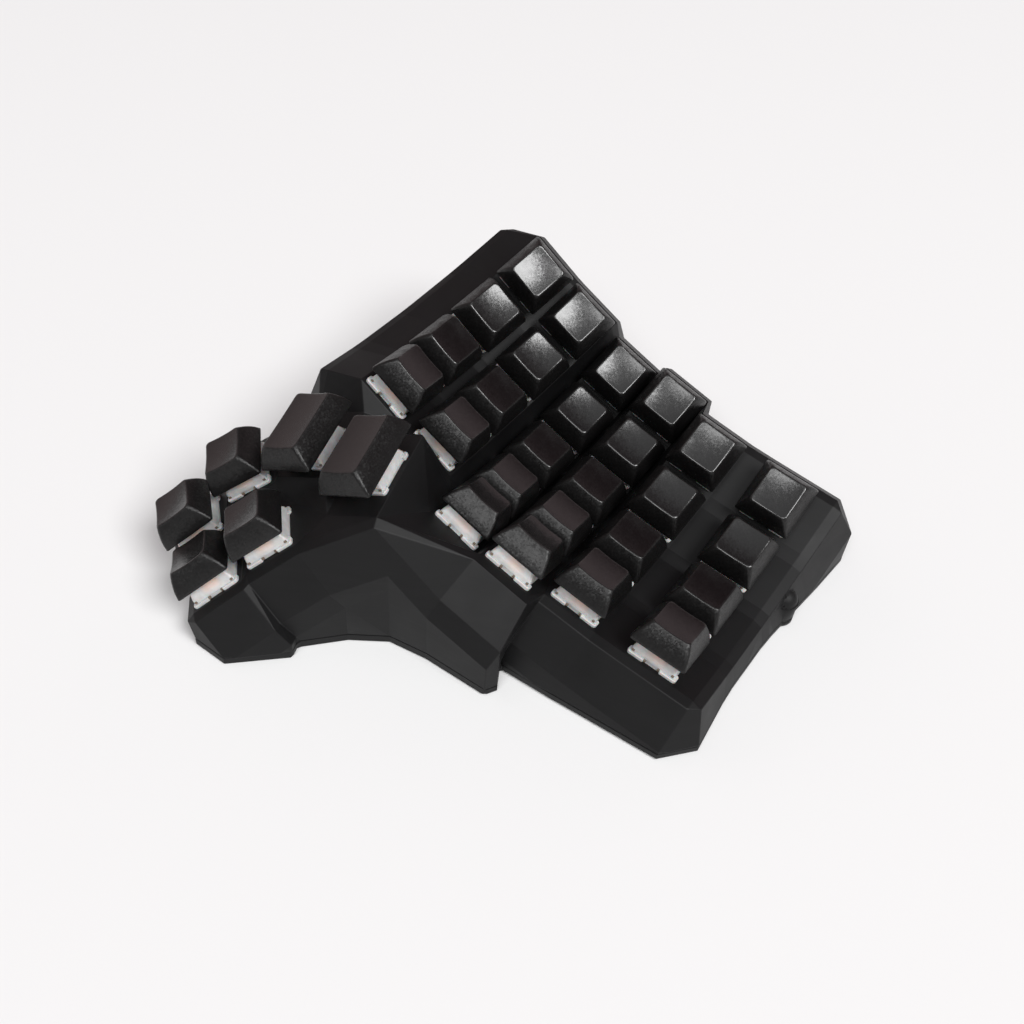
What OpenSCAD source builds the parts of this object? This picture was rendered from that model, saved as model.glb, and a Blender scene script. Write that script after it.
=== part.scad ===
// Right-hand half of a split ergonomic keyboard, in millimetres.
// A one-piece faceted case carries a bowl of 26 finger keys and a fan of 6 thumb keys.
// A flat bottom plate closes it, held by five countersunk screws in threaded inserts.
// X runs from the thumb to the little finger, Y to the rear, Z up; z = 0 is the underside.

/* [Key layout] */
// Angle between neighbouring keys of one column, degrees
column_curve = 15; // [10:0.5:18]
// Angle between neighbouring columns, degrees
row_curve = 5; // [3:0.25:7]
// Sideways tilt of the key bowl, degrees
tent = 15.7; // [10:0.1:20]
// Row that lies level front to back, counted from the rear
level_row = 2.05; // [1.5:0.05:2.5]
// Column that the sideways tilt turns about
level_column = 3.45; // [3:0.05:4]
// Height of the bowl's reference point above the bottom plate
bowl_rise = 6.6; // [5:0.1:12]
// Gap between neighbouring caps across the columns
column_gap = 2.5; // [1.5:0.1:4]
// Gap between neighbouring caps along a column
row_gap = 1.0; // [0.5:0.1:2]
// Rearward step of the middle-finger column
middle_y = 3.8; // [0:0.1:6]
// Height step of the middle-finger column
middle_z = -7.7; // [-9:0.1:0]
// Rearward step of the two little-finger columns
little_y = -13.7; // [-16:0.1:-8]
// Height step of the two little-finger columns
little_z = 7.3; // [4:0.1:9]
// Sideways step of the outermost column
outer_x = 5.5; // [4:0.1:7]
// Place of the thumb fan, from the near corner of the second column
thumb_base = [4.5, -3.2, 7.3]; // [-20:0.1:20]

/* [Key switches] */
// Side of the square hole for a switch
switch_hole = 14; // [13.9:0.05:14.2]
// Side of the plate round one switch
switch_mount = 17.4; // [17:0.1:18]
// Side of a switch's flange
flange_w = 15.6; // [15:0.1:16]
// Thickness of a switch's flange
flange_t = 1; // [0.8:0.1:1.2]
// Depth of a switch below the plate's top face
switch_depth = 5; // [4.8:0.1:5.4]
// Height of a switch's housing above the plate
switch_top = 6.6; // [6:0.1:7]
// Travel of a key
travel = 3.7; // [3:0.1:4]

/* [Keycaps] */
// Width of a cap at its skirt
cap_base_w = 17.7; // [17.4:0.1:18]
// Width of a cap at its top
cap_top_w = 11.4; // [11:0.1:12.2]
// Height of the skirt's edge above the plate
cap_lift = 5.7; // [5.4:0.1:6.2]
// Height of the dish's lowest point above the plate
dish_z = 12.1; // [11.9:0.1:12.4]
// Radius of a cap's dish
dish_r = 44; // [36:1:60]
// Extra length of a long thumb cap
long_extra = 9.5; // [9:0.1:10]

/* [Case] */
// Thickness of the key plate
plate_t = 4; // [3:0.1:5]
// Thickness of the side walls
wall_t = 3; // [2.5:0.1:4]
// Outward run of the sloping part of a wall
wall_out = 5.6; // [4:0.1:7]
// Depth of the sloping part of a wall
wall_drop = 14.5; // [10:0.1:18]
// Depth of the lower, steeper band of a wall
wall_band = 7; // [4:0.1:8]
// Width of the flat strip left of the first column
left_strip = 10; // [8:0.5:12]
// Thickness of the bottom plate
base_t = 3; // [2:0.1:4]
// Radius of a screw boss
boss_r = 4.2; // [4:0.1:5]
// Height of a screw boss up to its dome
boss_h = 5.4; // [5:0.1:8]
// How far the side boss's centre lies outside the side wall's inner face
side_boss_out = -1; // [-1.6:0.1:0]
// Outer radius of a threaded insert
insert_r = 2.3; // [2.1:0.05:2.6]
// Length of a threaded insert
insert_l = 4; // [3:0.1:5]
// Radius of a base screw's shank
screw_r = 1.45; // [1.4:0.05:1.5]

/* [Electronics] */
// Size of the controller board
board = [18, 33, 1.6]; // [1:0.1:60]
// Height of the controller board above the bottom plate
board_z = 5; // [4:0.1:10]
// Place of the controller board, right of the rear corner
board_x = 13; // [12:0.5:18]
// Place of the link jack, right of the rear corner
jack_x = 26; // [25.5:0.5:27]
// Height of the link jack above the bottom plate
jack_z = 13; // [12.5:0.5:16]
// Radius of the link jack's threaded neck
neck_r = 3; // [2.9:0.05:3.2]
// Radius of the link jack's bore
jack_bore_r = 1.8; // [1.75:0.05:1.9]

/* [Hidden] */
columns = [0:5];
thumb_names = ["inner_long", "outer_long", "upper_inner", "upper_outer", "lower_inner", "lower_outer"];
// Each thumb key: turns about x, y and z, then its place from the thumb base
thumb_keys = [
    [10, -23, 10, [-33.7, -15.4, -1.1]],
    [10, -23, 10, [-11.5, -15.9, 3.2]],
    [6, -34, 40, [-51, -25.7, -11.9]],
    [-6, -34, 48, [-29.1, -40.7, -13.5]],
    [-4, -35, 52, [-55.8, -42.8, -23.6]],
    [-16, -33, 54, [-38.1, -54.4, -25.6]]
];
half = switch_mount / 2;
wide_half = switch_mount / 1.2;
long_half = switch_mount / 1.15;
short_front = 10.5;
cap_reach = plate_t + 12.7;
row_radius = (switch_mount + row_gap) / 2 / sin(column_curve / 2) + cap_reach;
column_radius = (switch_mount + column_gap) / 2 / sin(row_curve / 2) + cap_reach;
rim_z = dish_z + 1;
cavity_z = switch_top + travel + 0.3;
eps = 0.05;

function has_key(c, r) = r < 4 || c == 2 || c == 3;
finger_slots = [for (c = columns, r = [0:4]) if (has_key(c, r)) [c, r]];

// Placement: matrices that carry a key's own frame to the part's frame.
// In a key's frame z = 0 is the top face of its plate.
function shift(v) = [[1, 0, 0, v.x], [0, 1, 0, v.y], [0, 0, 1, v.z], [0, 0, 0, 1]];
function turn_x(a) = [[1, 0, 0, 0], [0, cos(a), -sin(a), 0], [0, sin(a), cos(a), 0], [0, 0, 0, 1]];
function turn_y(a) = [[cos(a), 0, sin(a), 0], [0, 1, 0, 0], [-sin(a), 0, cos(a), 0], [0, 0, 0, 1]];
function turn_z(a) = [[cos(a), -sin(a), 0, 0], [sin(a), cos(a), 0, 0], [0, 0, 1, 0], [0, 0, 0, 1]];
function at(m, p) = let (q = m * [p.x, p.y, p.z, 1]) [q.x, q.y, q.z];
function along(m, v) = let (q = m * [v.x, v.y, v.z, 0]) [q.x, q.y, q.z];

function column_step(c) =
    c == 2 ? [0, middle_y, middle_z] : c >= 4 ? [0, little_y, little_z] : [0, 0, 0];

function finger_frame(c, r) =
    shift([0, 0, base_t + bowl_rise])
    * turn_y(tent)
    * shift(column_step(c) + [0, 0, column_radius])
    * turn_y(row_curve * (level_column - c))
    * shift([0, 0, row_radius - column_radius])
    * turn_x(column_curve * (level_row - r))
    * shift([c == 5 ? outer_x : 0, 0, plate_t - row_radius]);

thumb_origin = at(finger_frame(1, 3), [half, -half, -plate_t]) + thumb_base;

function thumb_frame(i) =
    let (k = thumb_keys[i])
    shift(thumb_origin + k[3]) * turn_z(k[2]) * turn_y(k[1]) * turn_x(k[0]) * shift([0, 0, plate_t]);

frames = concat(
    [for (s = finger_slots) finger_frame(s[0], s[1])],
    [for (i = [0:5]) thumb_frame(i)]
);

// Case skin. A key slot has four plate corners: rear left, rear right, front left, front right.
RL = 0;
RR = 1;
FL = 2;
FR = 3;
slot_count = 36;
function finger(c, r, k) = 4 * (5 * c + r) + k;
function thumb(i, k) = 4 * (30 + i) + k;
// Points of the strip left of the first column: rear and front end of each row
function left(r, front) = 4 * slot_count + 2 * r + front;

function slot_frame(s) = s < 30 ? finger_frame(floor(s / 5), s % 5) : thumb_frame(s - 30);
// The outermost column's plates reach out to the side wall, and the two long thumb plates are deeper
function corner_x(s, k) = k == RL || k == FL ? -half : s >= 25 && s < 30 ? wide_half : half;
function corner_y(s, k) =
    k == RL || k == RR ? (s == 30 || s == 31 ? long_half : half)
    : s == 30 ? -short_front : s == 31 ? -long_half : -half;
function left_point(r, front) =
    at(finger_frame(0, r), [-half, front == 1 ? -half : half, -plate_t])
    + [-left_strip, 0, plate_t - 3];
skin_points = 4 * slot_count + 8;
skin_frames = [for (s = [0:slot_count - 1]) slot_frame(s)];

function frame_of(p) =
    p < 4 * slot_count
    ? let (s = floor(p / 4), k = p % 4) skin_frames[s] * shift([corner_x(s, k), corner_y(s, k), 0])
    : let (q = p - 4 * slot_count) shift(left_point(floor(q / 2), q % 2));
corner_frames = [for (p = [0:skin_points - 1]) frame_of(p)];

// Wall rows: a skin point, the way the wall faces in its key's frame, whether it hangs plumb, and the run to
// its inner side where the wall turns a sharp corner
wall_rows = concat(
    [[left(0, 0), [0, 1], false]],
    [for (c = columns, k = [RL, RR]) [finger(c, 0, k), [0, 0.85], false]],
    [for (r = [0:3], k = [RR, FR]) [finger(5, r, k), [1, 0], false]],
    [
        [finger(5, 3, FR), [0, -1], false],
        [finger(5, 3, FL), [0, -1], false],
        [finger(4, 3, FR), [0, -1], false],
        [finger(4, 3, FL), [0, -1], false, [-wall_t, -wall_out]],
        [finger(3, 4, FR), [0.5, -1], true, [0, -wall_out]],
        [finger(3, 4, FR), [0.5, -1], false, [0, -wall_out]],
        [finger(3, 4, FL), [0, -1], false],
        [thumb(1, FR), [0, -1], false],
        [thumb(3, FR), [0, -1], false],
        [thumb(3, FL), [0, -1], false],
        [thumb(5, FR), [0, -1], false],
        [thumb(5, FL), [0, -1], false],
        [thumb(5, FL), [-1, 0], false],
        [thumb(5, RL), [-1, 0], false],
        [thumb(4, FL), [-1, 0], false],
        [thumb(4, RL), [-1, 0], false],
        [thumb(4, RL), [0, 1], false],
        [thumb(4, RR), [0, 1], false],
        [thumb(2, RL), [0, 1], false],
        [thumb(2, RR), [-0.3, 1], false]
    ],
    [for (r = [3:-1:0], front = [1, 0]) [left(r, front), [-1, 0], false]]
);
row_count = len(wall_rows);
joint_row = row_count - 9;
drop_z = -30;

// The lower band of a wall follows the key's own axis where that leads outward, else it is plumb
function band_step(m, d, plumb) =
    let (s = along(m, [0, 0, -wall_band]))
    let (out = along(m, [d.x, d.y, 0]))
    plumb || s.x * out.x + s.y * out.y < 0 ? [0, 0, s.z] : s;
function wall_profile(row) =
    let (m = corner_frames[row[0]], d = row[1])
    let (run = wall_out + wall_t, step = band_step(m, d, row[2]))
    let (rim = at(m, [d.x * wall_t, d.y * wall_t, -1]))
    let (knee = at(m, [d.x * run, d.y * run, -wall_drop]))
    let (way_in = is_undef(row[3]) ? d * wall_out : row[3])
    let (inner = at(m, [way_in.x, way_in.y, -wall_drop]))
    let (foot = knee + step, inner_foot = inner + step)
    [
        rim, knee, foot, [foot.x, foot.y, drop_z],
        inner, inner_foot, [inner_foot.x, inner_foot.y, drop_z]
    ];
profiles = [for (row = wall_rows) wall_profile(row)];

shell_points = concat(
    [for (m = corner_frames) at(m, [0, 0, 0])],
    [for (m = corner_frames) at(m, [0, 0, -plate_t])],
    [for (p = profiles) each p]
);
function wall_point(i, k) = 2 * skin_points + 7 * i + k;

// Faces run clockwise seen from outside. A face is cleaned of repeated points, then split so that it
// bulges outward.
function same(a, b) = norm(shell_points[a] - shell_points[b]) < 0.001;
function cleaned(f) = [for (i = [0:len(f) - 1]) if (!same(f[i], f[(i + 1) % len(f)])) f[i]];
function split4(f) =
    let (a = shell_points[f[0]], b = shell_points[f[1]], c = shell_points[f[2]], d = shell_points[f[3]])
    let (n = cross(b - a, c - a))
    let (h = n * (d - a) / norm(n))
    abs(h) < 0.00001 ? [f]
    : h > 0 ? [[f[0], f[1], f[2]], [f[0], f[2], f[3]]]
    : [[f[0], f[1], f[3]], [f[1], f[2], f[3]]];
function split(f) = let (g = cleaned(f)) len(g) < 3 ? [] : len(g) == 3 ? [g] : split4(g);
function reversed(f) = [for (i = [len(f) - 1:-1:0]) f[i]];
// A strip of triangles, every second one turned over, with the whole strip facing up
function total(v, i = 0) = i == len(v) ? 0 : v[i] + total(v, i + 1);
function lift_of(f) =
    let (a = shell_points[f[0]], b = shell_points[f[1]], c = shell_points[f[2]])
    cross(b - a, c - a).z;
function strip(list) =
    let (t = [for (i = [0:len(list) - 3]) [list[i], list[i + 1 + i % 2], list[i + 2 - i % 2]]])
    total([for (f = t) lift_of(f)]) < 0 ? t : [for (f = t) reversed(f)];

plate_faces = [
    for (s = [0:slot_count - 1])
        if (s >= 30 || has_key(floor(s / 5), s % 5)) [4 * s + RL, 4 * s + RR, 4 * s + FR, 4 * s + FL]
];
bowl_faces = concat(
    [for (c = [0:4], r = [0:3])
        [finger(c, r, RR), finger(c + 1, r, RL), finger(c + 1, r, FL), finger(c, r, FR)]],
    [for (c = columns, r = [0:2])
        [finger(c, r, FL), finger(c, r, FR), finger(c, r + 1, RR), finger(c, r + 1, RL)]],
    [for (c = [0:4], r = [0:2])
        [finger(c, r, FR), finger(c + 1, r, FL), finger(c + 1, r + 1, RL), finger(c, r + 1, RR)]],
    [for (r = [0:3]) [left(r, 0), finger(0, r, RL), finger(0, r, FL), left(r, 1)]],
    [for (r = [0:2]) [left(r, 1), finger(0, r, FL), finger(0, r + 1, RL), left(r + 1, 0)]]
);
link_faces = concat(
    strip([
        thumb(0, RL), finger(0, 3, FL), thumb(0, RR), finger(0, 3, FR), thumb(1, RL),
        finger(1, 3, FL), thumb(1, RR), finger(1, 3, FR), finger(2, 4, RL)
    ]),
    strip([finger(2, 4, RL), thumb(1, RR), finger(2, 4, FL), thumb(1, FR), finger(2, 4, FR)]),
    strip([
        thumb(1, FR), finger(2, 4, FR), finger(3, 4, FL), finger(2, 4, RR), finger(3, 4, RL),
        finger(3, 3, FL), finger(3, 4, RR), finger(3, 3, FR), finger(4, 3, FL)
    ]),
    strip([
        finger(1, 3, FR), finger(2, 4, RL), finger(2, 3, FL), finger(2, 4, RR), finger(2, 3, FR),
        finger(3, 3, FL)
    ]),
    [[finger(3, 4, FR), finger(3, 4, RR), finger(4, 3, FL)]],
    [[thumb(0, RL), left(3, 1), finger(0, 3, FL)]]
);
thumb_faces = concat(
    strip([thumb(0, RR), thumb(0, FR), thumb(1, RL), thumb(1, FL)]),
    strip([thumb(5, RR), thumb(5, FR), thumb(3, RL), thumb(3, FL)]),
    strip([thumb(4, RR), thumb(4, FR), thumb(2, RL), thumb(2, FL)]),
    strip([
        thumb(5, RL), thumb(4, FL), thumb(5, RR), thumb(4, FR), thumb(3, RL), thumb(2, FL),
        thumb(3, RR), thumb(2, FR)
    ]),
    strip([
        thumb(0, RL), thumb(2, RR), thumb(0, FL), thumb(2, FR), thumb(0, FR), thumb(3, RR),
        thumb(1, FL), thumb(3, FR), thumb(1, FR)
    ])
);
top_faces = [
    for (f = concat(plate_faces, bowl_faces, link_faces, thumb_faces)) each split(f)
];
under_faces = [for (f = top_faces) reversed([for (p = f) p + skin_points])];

// Between the thumb fan and the left strip the walls meet in a fan round one corner of a thumb plate
fan_point = thumb(0, RL);
function outer_strip(i) =
    let (j = (i + 1) % row_count, a = wall_rows[i][0], b = wall_rows[j][0])
    let (upper = i == joint_row
        ? [
            [fan_point, a, wall_point(i, 0)],
            [fan_point, wall_point(i, 0), wall_point(i, 1)],
            [fan_point, wall_point(i, 1), wall_point(j, 1)],
            [fan_point, wall_point(j, 1), wall_point(j, 0)],
            [fan_point, wall_point(j, 0), b]
        ]
        : [
            [b, a, wall_point(i, 0), wall_point(j, 0)],
            [wall_point(j, 0), wall_point(i, 0), wall_point(i, 1), wall_point(j, 1)]
        ])
    concat(upper, [
        [wall_point(j, 1), wall_point(i, 1), wall_point(i, 2), wall_point(j, 2)],
        [wall_point(j, 2), wall_point(i, 2), wall_point(i, 3), wall_point(j, 3)]
    ]);
function inner_strip(i) =
    let (j = (i + 1) % row_count)
    let (a = wall_rows[i][0] + skin_points, b = wall_rows[j][0] + skin_points, f = fan_point + skin_points)
    let (upper = i == joint_row
        ? [
            [f, wall_point(i, 4), a],
            [f, wall_point(j, 4), wall_point(i, 4)],
            [f, b, wall_point(j, 4)]
        ]
        : [[a, b, wall_point(j, 4), wall_point(i, 4)]])
    concat(upper, [
        [wall_point(i, 4), wall_point(j, 4), wall_point(j, 5), wall_point(i, 5)],
        [wall_point(i, 5), wall_point(j, 5), wall_point(j, 6), wall_point(i, 6)],
        [wall_point(j, 3), wall_point(i, 3), wall_point(i, 6), wall_point(j, 6)]
    ]);
wall_faces = [
    for (i = [0:row_count - 1]) each [for (f = concat(outer_strip(i), inner_strip(i))) each split(f)]
];

// Outline of the case where it meets the bottom plate
function level_xy(a, b) = let (q = a + (b - a) * (base_t - a.z) / (b.z - a.z)) [q.x, q.y];
function foot_xy(i) =
    let (p = profiles[i])
    p[1].z < base_t ? level_xy(p[0], p[1]) : p[2].z < base_t ? level_xy(p[1], p[2]) : [p[2].x, p[2].y];
all_feet = [for (i = [0:row_count - 1]) foot_xy(i)];
base_outline = [
    for (i = [0:row_count - 1]) if (norm(all_feet[i] - all_feet[(i + 1) % row_count]) > 0.05) all_feet[i]
];

// Screw bosses, by where each one stands against the inner wall
function boss_by(i, v) = let (p = profiles[i][6]) [p.x + v.x, p.y + v.y];
side_boss = at(finger_frame(5, 1), [wide_half + wall_out + side_boss_out, -1.5, -wall_drop]);
boss_sites = [
    boss_by(row_count - 1, [2.2, -1.5]),
    boss_by(joint_row + 1, [2.4, 1]),
    boss_by(27, [4, 3]),
    boss_by(7, [6, -2.4]),
    [side_boss.x, side_boss.y]
];

// Rear wall behind the first two columns, where the sockets sit
rear_x = profiles[1][2].x;
rear_y = profiles[1][2].y;
rear_in_y = profiles[1][5].y;
usb_x = rear_x + board_x;
socket_x = rear_x + jack_x;
board_top = base_t + board_z + board.z;
holder_wall = 2;
socket_z = base_t + jack_z;

// Switch sizes that follow from the ones above
body_w = switch_hole - 0.1;
cover_w = flange_w - 1.4;
cover_top = [cover_w - 3, cover_w - 3.8];
well = [9.4, 8.2];
shoulder_z = 1.4;
well_floor = shoulder_z - travel - 1.5;
roof_z = switch_top - 1.2;
slot = [7.3, 5.9];
pin_end = -switch_depth - 3.3;
stem_top = switch_top + 3.6;
wire_r = 0.4;
diode_r = 0.95;
diode_l = 4.2;
lead_l = 11;
diode_y = -4.6;
diode_z = -switch_depth - diode_r - 0.05;

case_black = [0.07, 0.07, 0.075];
cap_black = [0.05, 0.05, 0.055];
milky = [0.86, 0.86, 0.84];
steel = [0.7, 0.7, 0.72];
brass = [0.75, 0.6, 0.3];

// A rounded rectangle at height z, as points that run anticlockwise
function ring(w, d, r, z) = [
    for (q = [0:3], k = [0:2])
        let (a = 90 * q + 45 * k, x = q == 0 || q == 3 ? 1 : -1, y = q < 2 ? 1 : -1)
        [x * (w / 2 - r) + r * cos(a), y * (d / 2 - r) + r * sin(a), z]
];
function box_ring(w, d, z) = [[w, d, 2 * z] / 2, [-w, d, 2 * z] / 2, [-w, -d, 2 * z] / 2, [w, -d, 2 * z] / 2];

// A solid through a stack of rings with the same number of points
module loft(rings) {
    n = len(rings[0]);
    top = len(rings) - 1;
    polyhedron(
        points = [for (r = rings) each r],
        faces = concat(
            [[for (i = [0:n - 1]) i]],
            [[for (i = [n - 1:-1:0]) top * n + i]],
            [for (k = [0:top - 1], i = [0:n - 1])
                let (j = (i + 1) % n)
                [k * n + i, (k + 1) * n + i, (k + 1) * n + j, k * n + j]]
        )
    );
}

// A box centred on the key's axis between two heights
module slab(w, d, z0, z1, x = 0, y = 0) {
    translate([x - w / 2, y - d / 2, z0]) cube([w, d, z1 - z0]);
}

// A wire of six flats through a list of points
module wire(path, r) {
    last = len(path) - 1;
    function heading(i) =
        let (v = path[min(i + 1, last)] - path[max(i - 1, 0)])
        v / norm(v);
    function side(i) = let (s = cross(heading(i), [0, 0, 1])) s / norm(s);
    loft([
        for (i = [0:last])
            let (s = side(i), u = cross(s, heading(i)))
            [for (k = [0:5]) path[i] + r * (cos(60 * k) * s - sin(60 * k) * u)]
    ]);
}

module at_each_key() {
    for (m = frames) multmatrix(m) children();
}

module case_shell() {
    color(case_black)
    difference() {
        union() {
            difference() {
                polyhedron(points = shell_points, faces = concat(top_faces, under_faces, wall_faces));
                translate([-200, -200, drop_z - 5]) cube([400, 400, base_t - drop_z + 5]);
            }
            for (b = boss_sites) translate([b.x, b.y, base_t]) {
                cylinder(r = boss_r, h = boss_h, $fn = 48);
                translate([0, 0, boss_h]) sphere(r = boss_r - 0.2, $fn = 48);
            }
        }
        for (m = frames) multmatrix(m) slab(switch_hole, switch_hole, -plate_t - 1, 1);
        for (b = boss_sites) {
            translate([b.x, b.y, base_t - 1]) cylinder(r = insert_r, h = insert_l + 1.5, $fn = 32);
        }
        translate([usb_x - 4.8, rear_in_y - 1, board_top - 0.3]) cube([9.6, 10, 3.8]);
        translate([socket_x, rear_in_y - 1, socket_z])
            rotate([-90, 0, 0]) cylinder(r = neck_r + 0.1, h = 10, $fn = 48);
    }
}

module bottom_plate() {
    color(case_black)
    difference() {
        union() {
            linear_extrude(height = base_t) polygon(base_outline);
            translate([side_boss.x, side_boss.y, 0]) cylinder(r = boss_r, h = base_t, $fn = 48);
        }
        for (b = boss_sites) translate([b.x, b.y, 0]) {
            translate([0, 0, -1]) cylinder(r = screw_r + 0.2, h = base_t + 2, $fn = 32);
            translate([0, 0, -eps]) cylinder(r1 = 3, r2 = screw_r + 0.2, h = 1.8, $fn = 32);
        }
    }
}

module base_screws() {
    color(steel)
    for (b = boss_sites) translate([b.x, b.y, 0])
        difference() {
            union() {
                translate([0, 0, 0.1]) cylinder(r1 = 2.75, r2 = screw_r, h = 1.5, $fn = 32);
                translate([0, 0, 1.5]) cylinder(r = screw_r, h = base_t + insert_l - 2, $fn = 32);
            }
            translate([0, 0, -0.5]) cylinder(r = 1.1, h = 1.8, $fn = 6);
        }
}

module threaded_inserts() {
    color(brass)
    for (b = boss_sites) translate([b.x, b.y, base_t])
        difference() {
            cylinder(r = insert_r, h = insert_l, $fn = 32);
            translate([0, 0, -1]) cylinder(r = screw_r, h = insert_l + 2, $fn = 32);
        }
}

module switch_bases() {
    color(milky)
    at_each_key() difference() {
        union() {
            slab(body_w, body_w, -switch_depth, 0);
            slab(flange_w, flange_w, 0, flange_t);
            translate([0, 0, -switch_depth - 3]) cylinder(r = 2, h = 3.5, $fn = 8);
        }
        slab(well.x, well.y, well_floor, flange_t + 1);
    }
}

module switch_tops() {
    color(milky)
    at_each_key() difference() {
        loft([box_ring(cover_w, cover_w, flange_t), box_ring(cover_top.x, cover_top.y, switch_top)]);
        slab(well.x, well.y, flange_t - 1, roof_z);
        slab(slot.x, slot.y, roof_z - 1, switch_top + 1);
    }
}

module switch_springs() {
    color(steel)
    at_each_key() difference() {
        translate([0, 0, well_floor]) cylinder(r = 2.2, h = shoulder_z - well_floor, $fn = 8);
        translate([0, 0, well_floor - 1]) cylinder(r = 1.7, h = shoulder_z - well_floor + 2, $fn = 8);
    }
}

module switch_contacts() {
    color(brass)
    at_each_key() {
        slab(1, 0.4, pin_end, -switch_depth, -3.81, 2.54);
        slab(1, 0.4, pin_end, -switch_depth, 2.54, 5.08);
    }
}

module diodes() {
    color([0.75, 0.35, 0.15])
    at_each_key() translate([-lead_l / 2, diode_y, diode_z]) rotate([0, 90, 0]) {
        cylinder(r = 0.25, h = lead_l, $fn = 6);
        translate([0, 0, (lead_l - diode_l) / 2]) cylinder(r = diode_r, h = diode_l, $fn = 8);
    }
}

// Bare wires under the plate: one along each row of diodes, one along each column of contacts.
// Where a row wire meets a higher column it runs on past its plate's edge before it climbs.
function level(c) = column_step(c).z;
function row_wire_xs(c, first, last) = concat(
    c > first && level(c - 1) > level(c) ? [-11] : [],
    [-6, 6],
    c < last && level(c + 1) > level(c) ? [11] : []
);
function row_wire_path(r, first, last) = [
    for (c = [first:last], x = row_wire_xs(c, first, last))
        at(finger_frame(c, r), [x, diode_y - diode_r - wire_r - 0.1, diode_z])
];
function column_wire_path(c, rows) = [
    for (r = rows, y = [7, -7]) at(finger_frame(c, r), [3.65, y, pin_end + 0.8])
];

module row_wires() {
    color([0.6, 0.1, 0.1]) {
        for (r = [0:3]) wire(row_wire_path(r, 0, 5), wire_r);
        wire(row_wire_path(4, 2, 3), wire_r);
    }
}

module column_wires() {
    color([0.15, 0.25, 0.55])
    for (c = columns) wire(column_wire_path(c, [for (r = [0:4]) if (has_key(c, r)) r]), wire_r);
}

module controller_holder() {
    w = board.x + 2 * holder_wall;
    l = board.y - 2 * holder_wall;
    color(case_black)
    translate([usb_x - w / 2, rear_in_y - 2 - l, base_t])
    difference() {
        cube([w, l, board_z + board.z + 1.5]);
        translate([holder_wall - 0.1, -1, board_z]) cube([board.x + 0.2, l + 2, 10]);
        translate([2 * holder_wall, -1, holder_wall]) cube([w - 4 * holder_wall, l + 2, 20]);
    }
}

module controller_board() {
    color([0.05, 0.2, 0.12])
    translate([usb_x - board.x / 2, rear_in_y - 0.4 - board.y, base_t + board_z]) cube(board);
}

module controller_chip() {
    color([0.1, 0.1, 0.1])
    translate([usb_x - 3.5, rear_in_y - 0.4 - board.y / 2 - 3.5, board_top]) cube([7, 7, 0.9]);
}

module usb_socket() {
    color(steel)
    difference() {
        translate([usb_x - 4.5, rear_in_y - 6, board_top]) cube([9, rear_y - rear_in_y + 5.5, 3.2]);
        translate([usb_x - 4.1, rear_in_y - 5, board_top + 0.4]) cube([8.2, 20, 2.4]);
    }
}

module link_jack() {
    color([0.12, 0.12, 0.12])
    translate([socket_x, rear_in_y, socket_z]) rotate([-90, 0, 0])
    difference() {
        union() {
            translate([0, 0, -12]) cylinder(r = 4.4, h = 12, $fn = 48);
            translate([0, 0, -1]) cylinder(r = neck_r, h = rear_y - rear_in_y + 3.6, $fn = 48);
        }
        translate([0, 0, -10]) cylinder(r = jack_bore_r, h = 20, $fn = 32);
    }
}

module jack_nut() {
    color(steel)
    translate([socket_x, rear_y, socket_z]) rotate([-90, 0, 0])
    difference() {
        cylinder(r = 4.6, h = 2, $fn = 6);
        translate([0, 0, -1]) cylinder(r = neck_r + 0.05, h = 4, $fn = 48);
    }
}

// The cross on a stem's top and the slot for it in a cap's post
module cross_bars(gap, z0, z1) {
    slab(4 + gap, 1.2 + gap, z0, z1);
    slab(1.2 + gap, 4 + gap, z0, z1);
}

module stem() {
    slab(8.6, 7.2, shoulder_z, roof_z - 0.3);
    slab(7, 5.6, shoulder_z, switch_top);
    cross_bars(0, switch_top - 1, stem_top);
}

// A long cap's dish runs along it like a trough
module keycap(extra) {
    mid_z = (cap_lift + rim_z) / 2;
    mid_w = (cap_base_w + cap_top_w) / 2 + 0.9;
    roof_w = cover_top.x + 1;
    difference() {
        loft([
            ring(cap_base_w, cap_base_w + extra, 0.8, cap_lift),
            ring(mid_w, mid_w + extra, 1, mid_z),
            ring(cap_top_w, cap_top_w + extra, 1.4, rim_z)
        ]);
        loft([
            box_ring(cap_base_w - 2.4, cap_base_w - 2.4 + extra, cap_lift - 0.01),
            box_ring(roof_w, roof_w + extra, cavity_z)
        ]);
        translate([0, 0, dish_z + dish_r]) {
            if (extra == 0) sphere(r = dish_r, $fn = 96);
            else rotate([90, 0, 0]) cylinder(r = dish_r, h = 3 * cap_base_w, center = true, $fn = 192);
        }
    }
    difference() {
        translate([0, 0, switch_top + 0.1]) cylinder(r = 2.75, h = cavity_z - switch_top, $fn = 12);
        cross_bars(0.1, switch_top - 1, stem_top + 0.1);
    }
}

module key(i, long) {
    multmatrix(frames[i]) {
        color(cap_black) keycap(long ? long_extra : 0);
        color([0.5, 0.25, 0.12]) stem();
    }
}

module finger_key(c, r) {
    for (i = [0:len(finger_slots) - 1]) if (finger_slots[i] == [c, r]) key(i, false);
}

module thumb_key(i) {
    key(len(finger_slots) + i, i < 2);
}

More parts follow.
